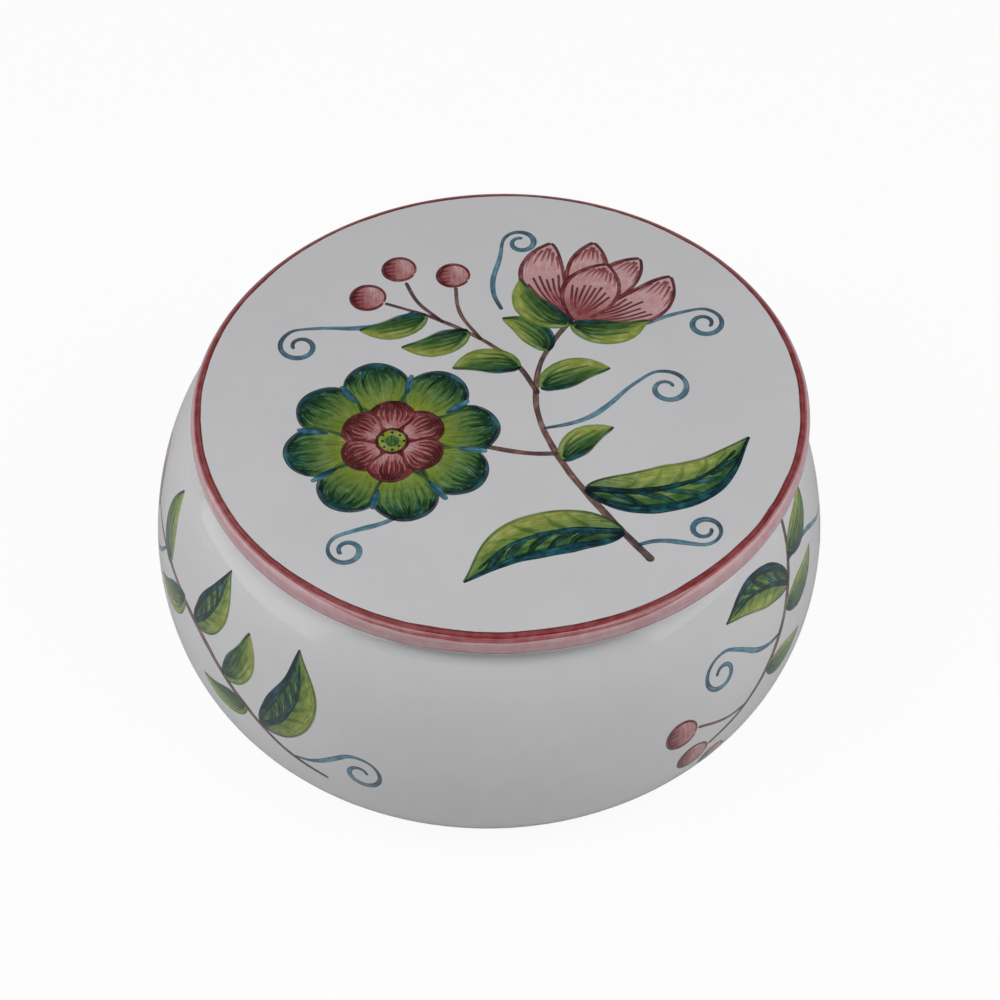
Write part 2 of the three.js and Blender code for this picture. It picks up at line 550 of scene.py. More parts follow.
# %% [markdown]
# Leaves and petals are forms with a spine and a breadth. A point on one is named by how far
# along the spine it lies and how far across, from -1 at one edge to 1 at the other. Washes,
# hatching, veins and outlines are all strokes between such points, so that one recipe paints
# every leaf, whatever its bend.


# %% Forms with a spine and a breadth
def crowded(span, count):
    """Stations that crowd towards both ends, where a rounded form turns fastest."""
    return span[0] + (span[1] - span[0]) * 0.5 * (1.0 - np.cos(np.pi * np.linspace(0.0, 1.0, count)))


class Form:
    """A leaf or petal about its spine. Widest says how far along, from 0 to 1, it is broadest."""

    def __init__(self, spine, breadth, widest=0.45, base=1.0, tip=1.0):
        self.line = smooth_path(spine, 0.6)
        self.t = np.linspace(0.0, 1.0, len(self.line))
        self.side = sideways(self.line)
        self.length = np.linalg.norm(np.diff(self.line, axis=0), axis=1).sum()
        self.shape = (0.5 * breadth, np.log(0.5) / np.log(widest), base, tip)

    def half(self, t):
        """Half the breadth at t. Small values of base and tip round that end, large ones draw it out."""
        broad, skew, base, tip = self.shape
        t = np.clip(t, 1e-4, 1.0 - 1e-4)
        return broad * np.sin(np.pi * t**skew) ** (base + (tip - base) * t)

    def at(self, t, s):
        where = [np.interp(t, self.t, part) for part in self.line.T]
        side = [np.interp(t, self.t, part) for part in self.side.T]
        return np.array([w + n * self.half(t) * s for w, n in zip(where, side)]).T


# %% Washes, edges and veins
def wash(painting, form, low, high, tones, cover, span=(0.0, 1.0)):
    """A broad, wet stroke that fills the form between two of its lines."""
    t = crowded(span, max(9, int(form.length * (span[1] - span[0]) / 1.1)))
    line = form.at(t, 0.5 * (low + high))
    half = 0.5 * (high - low) * form.half(t)
    half = half * (1.0 + tremor(t * form.length, TREMOR_OF_WASH))
    painting.append(Stroke(line, half.clip(THINNEST), loaded(tones), np.atleast_1d(cover)))


def edge(painting, form, s, widths, tones, cover=0.94, span=(0.0, 1.0)):
    t = crowded(span, max(6, int(form.length / 2.0)))
    draw(painting, form.at(t, s), widths, tones, cover)


def rim(painting, form, s, widths, tones, cover=0.96, start=0.0):
    """One stroke up one edge of a rounded form, about its tip, and down the other edge."""
    t = crowded((start, 1.0), max(8, int(form.length / 1.6)))
    draw(painting, np.vstack([form.at(t, -s), form.at(t[-2::-1], s)]), widths, tones, cover)


def vein(painting, form, start, end, widths, tones, cover=0.9):
    """A stroke between two points of the form, each given by its t and s. It leaves along the form."""
    (t0, s0), (t1, s1) = start, end
    t0, t1 = t0 + hand.normal(0.0, 0.01), t1 + hand.normal(0.0, 0.012)
    between = form.at(t0 + 0.62 * (t1 - t0), s0 + 0.42 * (s1 - s0))
    draw(painting, [form.at(t0, s0), between, form.at(t1, s1)], widths, tones, cover)


# %% [markdown]
# The motifs of the design are generic ones of country majolica: slender leaves, a many-petalled
# rosette, a tulip, berries and spiral tendrils. Each is painted in the order that a painter
# keeps: pale wash, darker wash on the shaded side, hatching, and the dark liner strokes last.
#
# A leaflet is one wet yellow-green wash with green brushed over it from its foot. That paint is
# thin, so its strokes stay soft, and a single dark stroke along one side gives the leaf body. One
# flat shape with an outline would be quicker, but would look printed.


# %% Leaflets
def bowed(base, tip, bow):
    base, tip = np.asarray(base, float), np.asarray(tip, float)
    across = np.array([-(tip - base)[1], (tip - base)[0]])
    early = base + 0.3 * (tip - base) + 0.85 * bow * across
    late = base + 0.65 * (tip - base) + bow * across
    return [base, early, late, tip]


def small_leaf(painting, base, tip, breadth, bow=0.0, shade=1):
    """A leaflet from base to tip. Its dark side is its left one if shade is 1, its right if it is -1."""
    form = Form(bowed(base, tip, bow), breadth, widest=0.44, base=0.62, tip=0.9)
    wash(painting, form, -1.0, 1.0, [LEAF_LIGHT, LEAF_YELLOW, LEAF_YELLOW], 0.95)
    wash(painting, form, *sorted([-0.3 * shade, 0.97 * shade]), [LEAF_GREEN, LEAF_LIGHT], (0.85, 0.75, 0.5))
    wash(painting, form, *sorted([0.3 * shade, 0.97 * shade]), [LEAF_DEEP, LEAF_GREEN], (0.8, 0.8, 0.6))
    for s, reach in ((-0.6, 0.55), (-0.28, 0.72), (0.1, 0.84), (0.45, 0.7)):
        reach = reach + hand.normal(0.0, 0.04)
        places = ((0.05, 0.4 * s), (0.3, 0.9 * s), (reach, s))
        points = [form.at(t, side * shade) for t, side in places]
        draw(painting, points, (0.6, 1.1, 0.5), [LEAF_DEEP, LEAF_GREEN], (0.9, 0.75, 0.55))
    edge(painting, form, -0.94 * shade, (0.4, 0.8, 0.5), [LEAF_GREEN, LEAF_LIGHT], (0.85, 0.5, 0.7))
    dark = [TEAL_DARK, TEAL, LEAF_DEEP, LEAF_GREEN, TEAL_DARK]
    edge(painting, form, 0.93 * shade, (0.9, 1.7, 1.1, 0.8), dark, (0.95, 0.9, 0.7, 0.92))


# %% [markdown]
# A long leaf darkens across its breadth in four washes, from olive to deep green. Then come the
# liner strokes: faint veins on its light side, bold ones on its dark side, the midrib and the
# edges. Their widths follow the leaf's breadth, as a painter takes a finer brush for a finer leaf.


# %% Long leaves
def large_leaf(painting, base, tip, breadth, bow=0.0, shade=1, veins=5):
    form = Form(bowed(base, tip, bow), breadth, widest=0.42, base=0.7, tip=1.05)
    wash(painting, form, -1.0, 1.0, [LEAF_GREEN, LEAF_YELLOW, LEAF_YELLOW, LEAF_LIGHT], 0.95)
    for low, tones, cover in (
        (-0.5, [LEAF_LIGHT, LEAF_LIGHT, LEAF_GREEN], 0.6),
        (-0.12, [LEAF_GREEN, LEAF_LIGHT, LEAF_GREEN], 0.72),
        (0.32, [LEAF_DEEP, LEAF_GREEN, LEAF_DEEP], 0.8),
        (0.62, [TEAL, LEAF_DEEP, TEAL], 0.8),
    ):
        wash(painting, form, *sorted([low * shade, 0.98 * shade]), tones, cover)
    step = 0.7 / veins
    load = breadth / 13.0 * np.array([0.7, 1.2, 1.9, 2.8])
    for t in 0.12 + step * np.arange(veins):
        faint = (t + 0.3 * step, -0.06 * shade), (t + 1.3 * step, -0.84 * shade)
        vein(painting, form, *faint, load[[1, 2, 0]], [LEAF_GREEN, LEAF_LIGHT], (0.85, 0.68, 0.55))
        bold = (t, 0.06 * shade), (t + 1.3 * step, 0.78 * shade)
        vein(painting, form, *bold, load[[1, 2, 1]], [TEAL, LEAF_DEEP], 0.92)
    edge(painting, form, 0.02, load[[2, 2, 1, 0]], [TEAL_DARK, TEAL, LEAF_DEEP], 0.97, (0.0, 0.88))
    pale = [LEAF_DEEP, LEAF_GREEN, LEAF_DEEP]
    edge(painting, form, -0.95 * shade, load[[0, 1, 0]], pale, (0.9, 0.5, 0.85))
    edge(painting, form, 0.88 * shade, load[[1, 3, 2, 0]], [TEAL_DARK, TEAL, TEAL_DARK], 0.98)


# %% Stems and tendrils
def stem(painting, points, widths=(2.0, 1.6, 1.3)):
    draw(painting, points, widths, [BROWN_DARK, BROWN, BROWN, BROWN_DARK], 0.94)


TENDRIL_WIDTHS = (1.0, 1.6, 0.9, 1.7, 1.0)


def tendril(painting, start, middle, size, turns, way_round=1, bow=0.5):
    """A line that leaves its start in a curve, meets a circle about the middle and winds in."""
    start, middle = np.asarray(start, float), np.asarray(middle, float)
    gap = np.linalg.norm(start - middle)
    meets = np.arctan2(*(start - middle)[::-1]) + way_round * np.arccos(size / gap)
    q = np.linspace(0.0, 1.0, int(9 * turns) + 6)
    turn = meets + way_round * 2 * np.pi * turns * q
    radius = size + (1.5 - size) * q**0.85
    coil = middle + radius[:, None] * np.column_stack([np.cos(turn), np.sin(turn)])
    straight = coil[0] - start
    leaving = start + 0.45 * np.array([straight[0] - bow * straight[1], straight[1] + bow * straight[0]])
    arriving = coil[0] - 0.4 * straight
    t = np.linspace(0.0, 1.0, 7)[:-1, None]
    lead = (1 - t) ** 3 * start + 3 * (1 - t) ** 2 * t * leaving
    lead = lead + 3 * (1 - t) * t**2 * arriving + t**3 * coil[0]
    tones = [BLUE_DARK, BLUE, BLUE, BLUE_DARK, BLUE, BLUE_DARK]
    draw(painting, np.vstack([lead, coil]), TENDRIL_WIDTHS, tones, 0.92)


# %% [markdown]
# A petal's shading is a fan of short strokes. Each is set down at the outer edge with a full
# brush and lifted on its way in, so it is broad and dark outside and thin and pale inside. Where
# the strokes leave gaps, the first wash shows, and the petal seems to bend.


# %% Petals of the rosette
def green_petal(painting, base, tip, breadth):
    """A broad petal, shaded from its outer edge inwards by three rounds of fanned strokes."""
    form = Form([base, 0.5 * (np.asarray(base) + tip), tip], breadth, widest=0.62, base=0.85, tip=0.48)
    wash(painting, form, -1.0, 1.0, [LEAF_YELLOW, LEAF_YELLOW, LEAF_LIGHT], 0.95)
    wash(painting, form, -0.96, 0.96, [LEAF_LIGHT, LEAF_GREEN, LEAF_GREEN], (0.3, 0.7, 0.8), (0.3, 0.98))
    rounds = (
        (7, 0.30, (2.1, 1.5, 0.6), [LEAF_GREEN, LEAF_LIGHT], (0.85, 0.7, 0.55)),
        (8, 0.52, (1.5, 1.1, 0.4), [LEAF_DEEP, LEAF_GREEN], (0.9, 0.8, 0.65)),
        (5, 0.68, (1.1, 0.8, 0.3), [TEAL, LEAF_DEEP], 0.88),
    )
    for count, inner, widths, tones, cover in rounds:
        for s in np.linspace(-0.86, 0.86, count) + hand.normal(0.0, 0.03, count):
            outer = 0.97 - 0.15 * s * s
            end = inner + hand.normal(0.0, 0.045)
            points = [form.at(outer, s), form.at(0.5 * (outer + end), 0.95 * s), form.at(end, 0.85 * s)]
            draw(painting, points, widths, tones, cover)
    tones = [LEAF_DEEP, LEAF_DEEP, TEAL_DARK, TEAL, TEAL_DARK, LEAF_GREEN, LEAF_DEEP]
    rim(painting, form, 0.95, (0.9, 1.3, 1.8, 1.0, 0.9), tones, (0.9, 0.75, 0.95, 0.95, 0.7, 0.9), start=0.1)


def wine_petal(painting, base, tip, breadth):
    """A small dark petal. Its strokes run in from the edge and leave lines of pale wash between."""
    form = Form([base, 0.5 * (np.asarray(base) + tip), tip], breadth, widest=0.6, base=0.7, tip=0.48)
    wash(painting, form, -1.0, 1.0, [ROSE_PALE, ROSE, ROSE], 0.95)
    for s in np.linspace(-0.78, 0.78, 7) + hand.normal(0.0, 0.02, 7):
        outer = 0.975 - 0.12 * s * s
        end = 0.34 + hand.normal(0.0, 0.05)
        points = [form.at(outer, s), form.at(0.5 * (outer + end), 0.95 * s), form.at(end, 0.8 * s)]
        draw(painting, points, (1.25, 1.0, 0.3), [WINE_DARK, WINE], 0.92)
    rim(painting, form, 0.95, (0.8, 1.1, 0.8), [WINE, WINE_DARK, WINE], start=0.1)


# %% Petals of the tulip
def rose_petal(painting, base, tip, breadth, bow=0.0, widest=0.58, lines=6):
    """A tulip petal: pale, with lines that fan out from its foot and short ones at its tip."""
    form = Form(bowed(base, tip, bow), breadth, widest=widest, base=0.7, tip=0.72)
    wash(painting, form, -1.0, 1.0, [ROSE, ROSE_PALE, ROSE_PALE], 0.95)
    wash(painting, form, -0.92, 0.92, [WINE, ROSE, ROSE_PALE], (0.85, 0.5, 0.1), (0.0, 0.62))
    for s in np.linspace(-0.7, 0.7, lines):
        outer = 0.62 - 0.14 * abs(s) + hand.normal(0.0, 0.03)
        points = [form.at(0.07, 0.5 * s), form.at(0.33, 0.8 * s), form.at(outer, s)]
        draw(painting, points, (0.4, 0.75, 0.7), [ROSE, WINE, WINE_DARK], 0.9)
    for s in np.linspace(-0.8, 0.8, lines):
        outer = 0.96 - 0.12 * abs(s)
        points = [form.at(outer, s), form.at(outer - 0.09, 0.97 * s), form.at(outer - 0.18, 0.93 * s)]
        draw(painting, points, (1.0, 0.8, 0.3), [WINE, ROSE], 0.85)
    edge(painting, form, -0.95, (0.9, 1.1, 0.9), [WINE, WINE, WINE_DARK], 0.95)
    edge(painting, form, 0.95, (0.9, 1.3, 1.1), [WINE_DARK, WINE, WINE_DARK], 0.96)


# %% [markdown]
# The flowers are put together from back to front, because a later stroke covers an earlier one.
# The petals stand nearly evenly round the middle: a painter's eye is good, but not exact.


# %% Rosette
def ring_of(count, middle, inner, outer, first=0.0):
    """Base and tip of petals that stand evenly round a middle."""
    middle = np.asarray(middle, float)
    for i in range(count):
        turn = first + 2 * np.pi * i / count + hand.normal(0.0, 0.025)
        way = np.array([np.cos(turn), np.sin(turn)])
        yield middle + inner * way, middle + (outer + hand.normal(0.0, 0.35)) * way


def disc(painting, middle, size, tones, cover=0.95):
    middle = np.asarray(middle, float)
    radius = np.array([0.0, 0.5 * size])
    form = Form([middle - radius, middle, middle + radius], size, widest=0.5, base=0.5, tip=0.5)
    wash(painting, form, -1.0, 1.0, np.atleast_2d(tones), cover)
    return form


def rosette(painting, middle):
    disc(painting, middle, 31.0, [LEAF_DEEP, LEAF_GREEN])
    for base, tip in ring_of(8, middle, 6.5, 24.5, 0.2):
        green_petal(painting, base, tip, 15.5)
    for base, tip in ring_of(8, middle, 15.0, 22.0, 0.2 + np.pi / 8):
        draw(painting, [base, 0.5 * (base + tip), tip], (0.7, 2.0, 1.2), [BLUE_DARK, BLUE], 0.95)
    disc(painting, middle, 17.0, WINE_DARK)
    for base, tip in ring_of(6, middle, 2.5, 12.4, 0.5):
        wine_petal(painting, base, tip, 10.6)
    for size, tones in ((8.4, WINE_DARK), (6.8, LEAF_YELLOW), (3.6, LEAF_GREEN)):
        disc(painting, middle, size, tones)
    for _, spot in ring_of(8, middle, 0.0, 2.6):
        disc(painting, spot, 0.9, TEAL)


# %% Tulip and berry
def tulip(painting, base, tip):
    base, tip = np.asarray(base, float), np.asarray(tip, float)
    up = tip - base
    across = np.array([up[1], -up[0]])
    for side, lift, bow in ((-0.58, 0.84, 0.16), (0.6, 0.86, -0.16)):
        rose_petal(painting, base + 0.02 * up, base + lift * up + side * across, 11.0, bow)
    for side, lift in ((-0.22, 1.0), (0.25, 0.97)):
        rose_petal(painting, base + 0.1 * up, base + lift * up + side * across, 10.0)
    rose_petal(painting, base, base + 0.78 * up, 14.0, widest=0.52, lines=8)
    small_leaf(painting, base - 0.06 * up, base + 0.3 * up - 0.66 * across, 7.8, bow=0.18, shade=-1)
    small_leaf(painting, base - 0.06 * up, base + 0.26 * up + 0.62 * across, 7.8, bow=-0.18, shade=1)


def berry(painting, middle, size):
    """A round berry, deepened from one side in three washes. Its outline doesn't quite close."""
    middle = np.asarray(middle, float)
    form = disc(painting, middle, 2 * size, [ROSE, ROSE_PALE])
    for low, tones, cover in ((-0.25, [ROSE, ROSE], 0.65), (0.2, [WINE, ROSE], 0.7), (0.6, WINE, 0.75)):
        wash(painting, form, low, 0.97, np.atleast_2d(tones), cover, (0.04, 0.96))
    for t in (0.2, 0.36, 0.52, 0.68):
        ends = (t, 0.94), (t + 0.06, 0.2)
        vein(painting, form, *ends, (1.0, 0.8, 0.3), [WINE_DARK, WINE], (0.92, 0.8, 0.6))
    turn = np.linspace(-0.4, 2 * np.pi - 0.5, 20)
    outline = middle + 0.95 * size * np.column_stack([np.cos(turn), np.sin(turn)])
    draw(painting, outline, (0.6, 1.0, 1.2, 0.7), [WINE, WINE_DARK, WINE], 0.95)


# %% [markdown]
# The lid's design grows from the lower right in one S-shaped stem, with the rosette to its left,
# the tulip above and a sprig of berries at the back. Blue tendrils fill the gaps. All of it stays
# clear of the edge, as on the real lid.

# %% Design of the lid
lid_painting = []
stem(lid_painting, [(33, -50), (24, -37), (15, -22), (9, -6), (9, 9), (13, 19), (18, 27)])
stem(lid_painting, [(13, -17), (5, -16.5), (-5, -14)], (1.5, 1.4))
stem(lid_painting, [(9, 2), (4, 12), (-5, 21), (-16, 28), (-27, 33)], (1.5, 1.2, 1.0))
stem(lid_painting, [(-4, 20), (-9, 29), (-10, 38)], (1.1, 1.0))
stem(lid_painting, [(-13, 26), (-19, 33), (-22, 40)], (1.1, 1.0))

tendril(lid_painting, (10, -9), (39, 3), 6.0, 1.3, -1, bow=-0.5)
tendril(lid_painting, (21, 25), (49, 24), 5.0, 1.4, -1, bow=-0.5)
tendril(lid_painting, (-20, 30), (-47, 19), 5.5, 1.3, 1, bow=0.5)
tendril(lid_painting, (1, 30), (6, 53), 4.5, 1.3, -1)
tendril(lid_painting, (-21, -33), (-35, -45), 4.8, 1.3, 1, bow=0.3)
tendril(lid_painting, (30, -45), (45, -41), 4.4, 1.3, 1, bow=0.4)

large_leaf(lid_painting, (19, -28), (57, -13), 13.5, bow=-0.17, shade=-1)
large_leaf(lid_painting, (27, -41), (-9, -55), 13.0, bow=-0.16, shade=1)
small_leaf(lid_painting, (9.5, 4), (26, 10), 8.6, bow=0.12, shade=-1)
small_leaf(lid_painting, (14, -19), (26, -9), 7.2, bow=0.12, shade=-1)
small_leaf(lid_painting, (11.5, 16), (1, 27), 7.4, bow=-0.12, shade=-1)
small_leaf(lid_painting, (5, 11), (-11, 11), 7.8, bow=-0.14, shade=1)
small_leaf(lid_painting, (-7, 23), (-23, 18), 7.4, bow=0.12, shade=-1)
small_leaf(lid_painting, (-17, 28.5), (-33, 24), 7.0, bow=0.12, shade=-1)

rosette(lid_painting, (-25, -12))
tulip(lid_painting, (18, 26), (29, 50))
berry(lid_painting, (-31, 35), 4.3)
berry(lid_painting, (-23.5, 44.5), 4.1)
berry(lid_painting, (-10.5, 42), 4.0)

lid_reach = max(np.linalg.norm(stroke.line, axis=1).max() for stroke in lid_painting)
print("lid:", len(lid_painting), "strokes, out to", lid_reach.round(1), "mm")

# %% [markdown]
# The bowl carries a creeping sprig on its left side and a hanging one on its right, and its front
# and back are plain. Its wall is painted as if it were unrolled: the first number runs round the
# belly from the front towards the right, and the second up the wall from the belly.

# %% Design of the bowl's sides
bowl_painting = []
stem(bowl_painting, [(-40, -9), (-52, -5), (-66, 3), (-82, 11), (-100, 15), (-120, 16)], (1.3, 1.9, 1.4))
tendril(bowl_painting, (-49, -6), (-31, -2), 6.0, 1.3, -1, bow=-0.3)
tendril(bowl_painting, (-106, 15), (-128, -4), 5.5, 1.3, 1)
large_leaf(bowl_painting, (-58, -1), (-49, 28), 12.0, bow=-0.16, shade=1)
large_leaf(bowl_painting, (-84, 12), (-76, 34), 10.0, bow=-0.12, shade=1)
small_leaf(bowl_painting, (-71, 5.5), (-64, 24), 7.8, bow=-0.12, shade=1)
small_leaf(bowl_painting, (-63, 1.5), (-80, -2), 7.4, bow=0.12, shade=-1)
small_leaf(bowl_painting, (-90, 14), (-107, 5), 8.0, bow=0.12, shade=-1)
small_leaf(bowl_painting, (-101, 15), (-107, 33), 8.5, bow=0.12, shade=1)
for tip in ((-136, 9), (-137, 24), (-138, 17)):
    rose_petal(bowl_painting, (-120, 16), tip, 8.5)

stem(bowl_painting, [(95, 35), (90, 24), (83, 12), (74, 2), (64, -5), (54, -9)], (1.4, 1.9, 1.3))
stem(bowl_painting, [(66, -4), (59, -3), (50, 1)], (1.2, 1.0))
tendril(bowl_painting, (80, 8), (58, 13), 6.0, 1.3, 1, bow=0.5)
tendril(bowl_painting, (89, 23), (116, 6), 5.5, 1.3, -1, bow=0.4)
large_leaf(bowl_painting, (87, 18), (62, 25), 10.5, bow=-0.14, shade=-1)
small_leaf(bowl_painting, (90, 25), (108, 31), 8.0, bow=-0.12, shade=-1)
small_leaf(bowl_painting, (84, 13), (102, 16), 8.0, bow=-0.12, shade=-1)
small_leaf(bowl_painting, (74, 2), (90, 0), 7.5, bow=-0.12, shade=-1)
berry(bowl_painting, (49.5, -10), 4.4)
berry(bowl_painting, (45.5, 1.5), 4.3)
berry(bowl_painting, (57, -16.5), 3.9)

print("bowl:", len(bowl_painting), "strokes")

# %% [markdown]
# ## Cutting the strokes into the skin
#
# A sheet of clay skin is a flat map with points on it. Blender's constrained triangulation takes
# the map and the small four-sided panels that each stroke is made of, and returns triangles that
# follow every stroke's outline. It also tells which panels each triangle lies in. The topmost
# one gives the triangle its paint, and those under it are blended into the ground that it was
# painted on.

# %% Panels of all strokes
# Points that lie nearer than this, in millimetres, are one.
CLOSE = 0.0005
# Added along each stroke, so that no two strokes show the same hairs of the brush.
GRAIN_SHIFT = 47.0


def cross(first, second):
    """More than 0 where the second way turns left from the first."""
    return first[..., 0] * second[..., 1] - first[..., 1] * second[..., 0]


def panels_of(strokes):
    """Corners and outlines of every stroke's panels, with the values at both ends of each panel."""
    corners, outlines, values, owners = [], [], [], []
    for number, stroke in enumerate(strokes):
        side = sideways(stroke.line) * stroke.half[:, None]
        right, left = stroke.line - side, stroke.line + side
        steps = np.linalg.norm(np.diff(stroke.line, axis=0), axis=1)
        along = np.concatenate([[0.0], np.cumsum(steps)])
        t = along / along[-1]
        tones = [np.interp(t, np.linspace(0, 1, len(stroke.tones)), part) for part in stroke.tones.T]
        cover = np.interp(t, np.linspace(0, 1, len(stroke.cover)), stroke.cover)
        point = np.column_stack([stroke.line, stroke.half, along + GRAIN_SHIFT * number, *tones, cover])
        first, count = len(corners), len(point)
        corners += [*right, *left]
        for i in range(count - 1):
            a, b, c, d = right[i], right[i + 1], left[i + 1], left[i]
            sides = [b - a, c - b, d - c, a - d]
            if min(map(cross, sides, sides[1:] + sides[:1])) <= 0:
                continue
            outlines.append((first + i, first + i + 1, first + count + i + 1, first + count + i))
            values.append(np.concatenate([point[i], point[i + 1]]))
            owners.append(number)
    return np.array(corners), outlines, np.array(values), np.array(owners)


# %% [markdown]
# Inside a panel everything runs evenly from one end to the other. "Touch" is what the brush mark
# has to know about a place: how far along the stroke it lies, how far to its side, and how wide
# the stroke is there.


# %% What a stroke holds at a place inside it
def paint_at(places, values):
    """What a stroke holds at places inside one of its panels, given the values at the two ends."""
    start, end = np.split(values[:, None, :], 2, axis=-1)
    run = end[..., :2] - start[..., :2]
    length = np.linalg.norm(run, axis=-1, keepdims=True)
    offset = places - start[..., :2]
    t = ((offset * run).sum(-1, keepdims=True) / length**2).clip(0.0, 1.0)
    held = start + (end - start) * t
    across = cross(run, offset) / length[..., 0]
    touch = np.stack([held[..., 3], across, held[..., 2]], axis=-1)
    return held[..., 4:7], held[..., 7:8], touch


# %% Cut the panels into a sheet
def within(places, panels):
    """Whether each place lies in its own panel, which has four corners and no hollow side."""
    inside = np.ones(len(places), bool)
    for i in range(4):
        start, end = panels[:, i], panels[:, (i + 1) % 4]
        inside &= cross(end - start, places - start) > 0.0
    return inside


def cut(sheet_points, sheet_edges, corners, outlines, owners):
    """The sheet's triangles once the panels are cut in, and which panel lies over which triangle.

    The pairs of triangle and panel run from the lowest stroke on a triangle to the topmost. Where
    a stroke's own panels overlap, in a bend, only the last of them counts.
    """
    all_points = np.vstack([sheet_points, corners])
    faces = [tuple(len(sheet_points) + i for i in outline) for outline in outlines]
    found = delaunay_2d_cdt([Vector(p) for p in all_points], sheet_edges, faces, 0, CLOSE)
    flat = np.array([all_points[same[0]] if same else tuple(p) for p, same in zip(found[0], found[3])])
    triangles = np.array(found[2])

    pairs = np.array([(i, f) for i, inside in enumerate(found[5]) for f in inside])
    middles = flat[triangles].mean(axis=1)[pairs[:, 0]]
    pairs = pairs[within(middles, all_points[np.array(faces)][pairs[:, 1]])]
    pairs = pairs[np.lexsort((owners[pairs[:, 1]], pairs[:, 0]))]
    last_of_stroke = np.ones(len(pairs), bool)
    last_of_stroke[:-1] = (np.diff(pairs[:, 0]) != 0) | (np.diff(owners[pairs[:, 1]]) != 0)
    return flat, triangles, pairs[last_of_stroke]


# %% Inlay: triangles of a sheet, each with its paint
Paint = namedtuple("Paint", "ground pigment touch cover")


def inlay(sheet_points, sheet_edges, strokes):
    corners, outlines, values, owners = panels_of(strokes)
    flat, triangles, pairs = cut(sheet_points, sheet_edges, corners, outlines, owners)
    count = len(triangles)
    ground = np.ones((count, 3, 3))
    pigment = np.ones((count, 3, 3))
    touch = np.tile([0.0, 0.0, 1.0], (count, 3, 1))
    cover = np.zeros((count, 3, 1))
    rank = np.arange(len(pairs)) - np.searchsorted(pairs[:, 0], pairs[:, 0])
    top = np.ones(len(pairs), bool)
    top[:-1] = np.diff(pairs[:, 0]) != 0
    for level in range(rank.max() + 1):
        chosen = pairs[rank == level]
        is_top = top[rank == level]
        tone, strength, place_on = paint_at(flat[triangles[chosen[:, 0]]], values[chosen[:, 1]])
        under = chosen[~is_top, 0]
        ground[under] += (tone[~is_top] - ground[under]) * strength[~is_top]
        over = chosen[is_top, 0]
        pigment[over], cover[over], touch[over] = tone[is_top], strength[is_top], place_on[is_top]
    return flat, triangles, Paint(ground, pigment, touch, cover)


# %% [markdown]
# ## Building the skins
#
# The lid's flat top is a round sheet, painted as it is. The bowl's wall is a long sheet that is
# rolled up onto the profile afterwards. Everything else is revolved row by row. Points that
# coincide become one, so that each piece is a single closed skin.


# %% Revolve rows
Part = namedtuple("Part", "points normals marks faces paint")


def revolve(rows, marks):
    """The profile rows turned about the axis. Marks are values that each row carries along."""
    turn = np.linspace(0.0, 2 * np.pi, COLUMNS, endpoint=False) - np.pi
    sine, cosine = np.sin(turn), -np.cos(turn)

    def swept(outward, upward):
        return np.stack([np.outer(outward, sine), np.outer(outward, cosine),
                         np.repeat(upward[:, None], COLUMNS, axis=1)], axis=-1).reshape(-1, 3)

    index = np.arange(len(rows) * COLUMNS).reshape(len(rows), COLUMNS)
    beside = np.roll(index, -1, axis=1)
    quads = np.stack([index[:-1], beside[:-1], beside[1:], index[1:]], axis=-1).reshape(-1, 4)
    points = swept(rows[:, 0], rows[:, 1])
    normals = swept(rows[:, 2], rows[:, 3])
    return Part(points, normals, np.repeat(marks, COLUMNS, axis=0), quads, None)


# %% Join the faces of several parts
UNPAINTED = np.array([1.0] * 6 + [0.0, 0.0, 1.0, 0.0])


def joined_faces(parts, same):
    """Faces on the joined points, without any that joining closed up, and the paint at their corners."""
    faces, corner_values, start = [], [], 0
    for part in parts:
        indices = same[part.faces + start]
        start += len(part.points)
        if part.paint is None:
            held = np.tile(UNPAINTED, (*part.faces.shape, 1))
        else:
            held = np.concatenate(part.paint, axis=-1)
        for face, values in zip(indices, held):
            kept = [i for i in range(len(face)) if face[i] != face[i - 1]]
            if len(set(face[kept])) < 3:
                continue
            faces.append([int(face[i]) for i in kept])
            corner_values.append(values[kept])
    return faces, np.vstack(corner_values)


# %% Make one skin of several parts
# Keeps the round numbers of the profiles off the border between two keys.
KEY_SHIFT = 0.37


def store(mesh, label, domain, values):
    """Keeps one number or three for each corner or point of the mesh, where the material finds them."""
    kind, field = ("FLOAT", "value") if values.ndim == 1 else ("FLOAT_VECTOR", "vector")
    layer = mesh.attributes.new(label, kind, domain)
    layer.data.foreach_set(field, values.astype(np.float32).ravel())


def join_skin(name, parts, shift_x):
    points = np.vstack([part.points for part in parts])
    normals = np.vstack([part.normals for part in parts])
    marks = np.vstack([part.marks for part in parts])
    keys = np.floor(points / CLOSE + KEY_SHIFT).astype(np.int64)
    _, first, same = np.unique(keys, axis=0, return_index=True, return_inverse=True)
    faces, corner_values = joined_faces(parts, same.ravel())
    mesh = bpy.data.meshes.new(name)
    mesh.from_pydata((points[first] + (shift_x, 0.0, 0.0)) * MM, [], faces)
    mesh.shade_smooth()
    mesh.normals_split_custom_set_from_vertices(normals[first])
    for i, label in enumerate(("ground", "pigment", "touch")):
        store(mesh, label, "CORNER", corner_values[:, 3 * i:3 * i + 3])
    store(mesh, "cover", "CORNER", corner_values[:, 9])
    for i, label in enumerate(("way", "bare")):
        store(mesh, label, "POINT", marks[first, i])
    piece = bpy.data.objects.new(name, mesh)
    scene.collection.objects.link(piece)
    return piece


